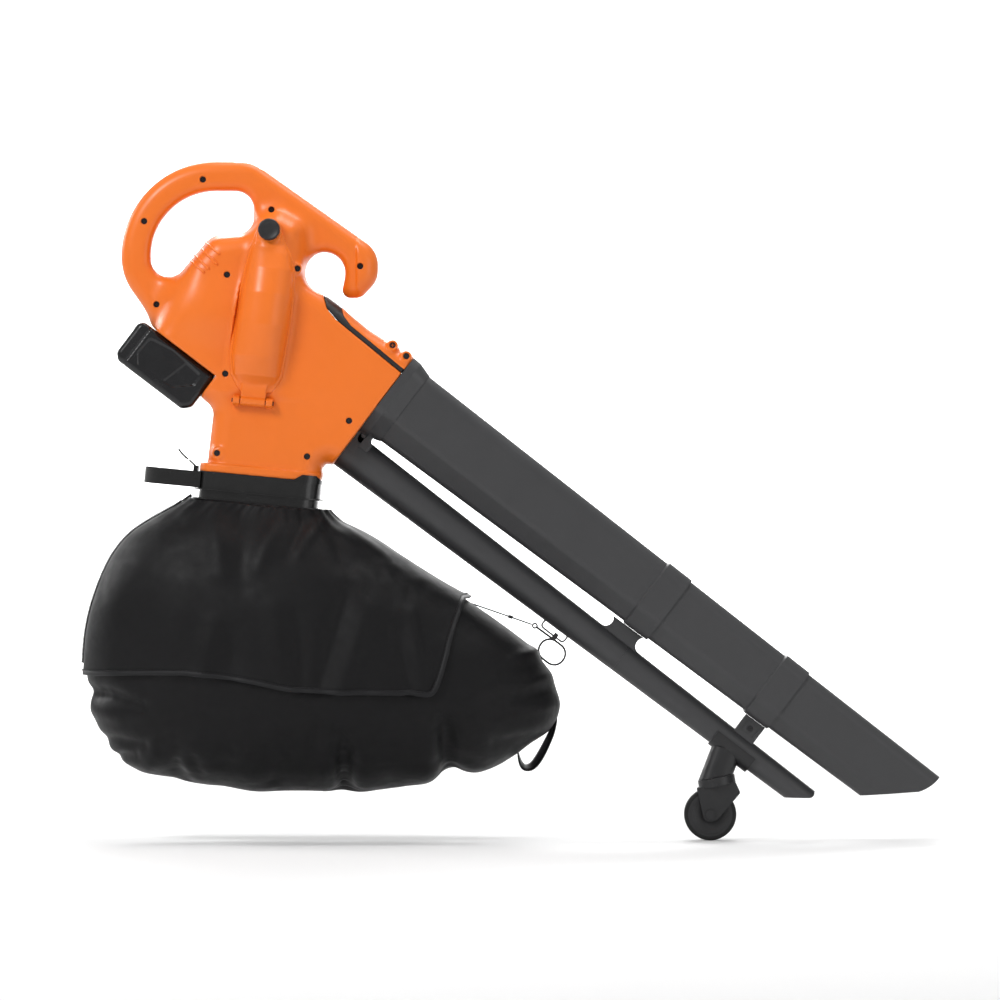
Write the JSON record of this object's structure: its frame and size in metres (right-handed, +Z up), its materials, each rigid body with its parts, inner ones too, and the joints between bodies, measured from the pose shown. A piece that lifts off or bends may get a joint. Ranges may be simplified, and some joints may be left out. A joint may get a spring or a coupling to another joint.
{
  "type": "cordless leaf blower vacuum",
  "caption": "Cordless leaf blower, vacuum and mulcher with loop grip, twin angled tubes, caster wheel and a hanging fabric collection bag.",
  "frame": {"origin": "on the ground below the middle of the machine's bounding box, without the elastic cord", "axes": "+X towards the nozzle, +Y away from the side with the inspection cover, +Z up"},
  "size_m": [1.1026, 0.2682, 0.873],
  "materials": {
    "orange": "satin injection-moulded housing plastic",
    "black_trim": "satin black trim plastic",
    "grey_tube": "satin dark grey tube plastic",
    "collar_black": "glossy black collar plastic",
    "battery_black": "glossy black battery case",
    "bag_fabric": "coated woven polyester",
    "webbing": "woven webbing and zip tape",
    "cord_elastic": "elastic cord",
    "rubber": "moulded wheel tread",
    "dark_steel": "blackened steel fasteners",
    "steel": "plain steel",
    "brass": "threaded insert",
    "copper": "motor magnets and bearings in a plated cage",
    "fan_grey": "glass-filled nylon",
    "board_green": "circuit board",
    "cell_wrap": "wrapped cells"
  },
  "bodies": {
    "machine": {"housing_left": "orange", "housing_right": "orange", "housing_screws": "dark_steel", "trim_strip": "black_trim", "tube_clamp_cover": "orange", "clamp_screws": "dark_steel", "hinge_pin": "dark_steel", "knob_insert": "brass", "motor_can": "dark_steel", "motor_magnets": "copper", "motor_bearings": "steel", "motor_mount_plate": "fan_grey", "inlet_ring": "fan_grey", "inlet_duct": "fan_grey", "switch_block": "black_trim", "control_board": "board_green", "battery_terminals": "black_trim", "suction_tube_upper": "grey_tube", "suction_tube_lower": "grey_tube", "suction_nozzle": "grey_tube", "blow_tube_upper": "grey_tube", "blow_tube_lower": "grey_tube", "tube_flange": "grey_tube", "tube_bracket": "grey_tube", "bracket_screw": "dark_steel", "bag_bail": "dark_steel", "caster_leg": "black_trim"},
    "rotor": {"motor_rotor": "steel", "impeller": "fan_grey", "impeller_nut": "steel"},
    "cover": {"inspection_cover": "orange"},
    "knob": {"cover_knob": "black_trim", "knob_bolt": "steel"},
    "switch": {"power_switch": "black_trim"},
    "battery": {"battery_case": "battery_black", "battery_lid": "battery_black", "battery_cells": "cell_wrap"},
    "battery_release": {"battery_button": "black_trim"},
    "bag": {"leaf_bag": "bag_fabric", "bag_flap": "bag_fabric", "grab_loop": "webbing", "bag_zip": "webbing", "bag_collar": "collar_black", "bag_frame": "collar_black", "latch_posts": "collar_black", "zip_slider": "dark_steel", "bag_hook": "black_trim", "elastic_cord": "cord_elastic", "cord_crimp": "dark_steel"},
    "latch": {"latch_lever": "collar_black"},
    "puller": {"zip_puller": "dark_steel"},
    "fork": {"caster_fork": "black_trim", "caster_axle": "steel", "axle_caps": "black_trim"},
    "wheel": {"caster_wheel": "black_trim", "caster_tyre": "rubber"}
  },
  "joints": [
    {"name": "impeller_spin", "type": "hinge", "parent": "machine", "child": "rotor", "pos_m": [-0.316, 0, 0.672], "axis": [0.9954, 0, -0.0958], "continuous": true},
    {"name": "cover_hinge", "type": "hinge", "parent": "machine", "child": "cover", "pos_m": [-0.329, -0.0635, 0.563], "axis": [0.9954, 0, -0.0958], "range_deg": [0, 110]},
    {"name": "knob_turn", "type": "hinge", "parent": "cover", "child": "knob", "pos_m": [-0.30782, -0.07, 0.78298], "axis": [0, 1, 0], "continuous": true},
    {"name": "power_slide", "type": "slide", "parent": "machine", "child": "switch", "axis": [0.9925, 0, -0.1219], "range_m": [0, 0.008]},
    {"name": "battery_slide", "type": "slide", "parent": "machine", "child": "battery", "axis": [-0.7955, 0, 0.606], "range_m": [0, 0.11]},
    {"name": "battery_release_push", "type": "slide", "parent": "battery", "child": "battery_release", "axis": [0.7955, 0, -0.606], "range_m": [0, 0.003], "stiffness_N_per_m": 900, "springref_m": -0.002},
    {"name": "bag_release_slide", "type": "slide", "parent": "machine", "child": "bag", "axis": [-0.0958, 0, -0.9954], "range_m": [0, 0.06]},
    {"name": "latch_pivot", "type": "hinge", "parent": "bag", "child": "latch", "pos_m": [-0.40382, 0, 0.47909], "axis": [0, -1, 0], "range_deg": [0, 20], "stiffness_Nm_per_rad": 0.25, "springref_deg": -11.46},
    {"name": "zip_puller_pivot", "type": "hinge", "parent": "bag", "child": "puller", "pos_m": [-0.42422, 0, 0.43578], "axis": [0, 1, 0], "range_deg": [0, 100]},
    {"name": "caster_swivel", "type": "hinge", "parent": "machine", "child": "fork", "pos_m": [0.265, 0, 0.081], "axis": [-0.184, 0, 0.9829], "continuous": true},
    {"name": "wheel_spin", "type": "hinge", "parent": "fork", "child": "wheel", "pos_m": [0.2575, 0, 0.0335], "axis": [0, 1, 0], "continuous": true}
  ]
}
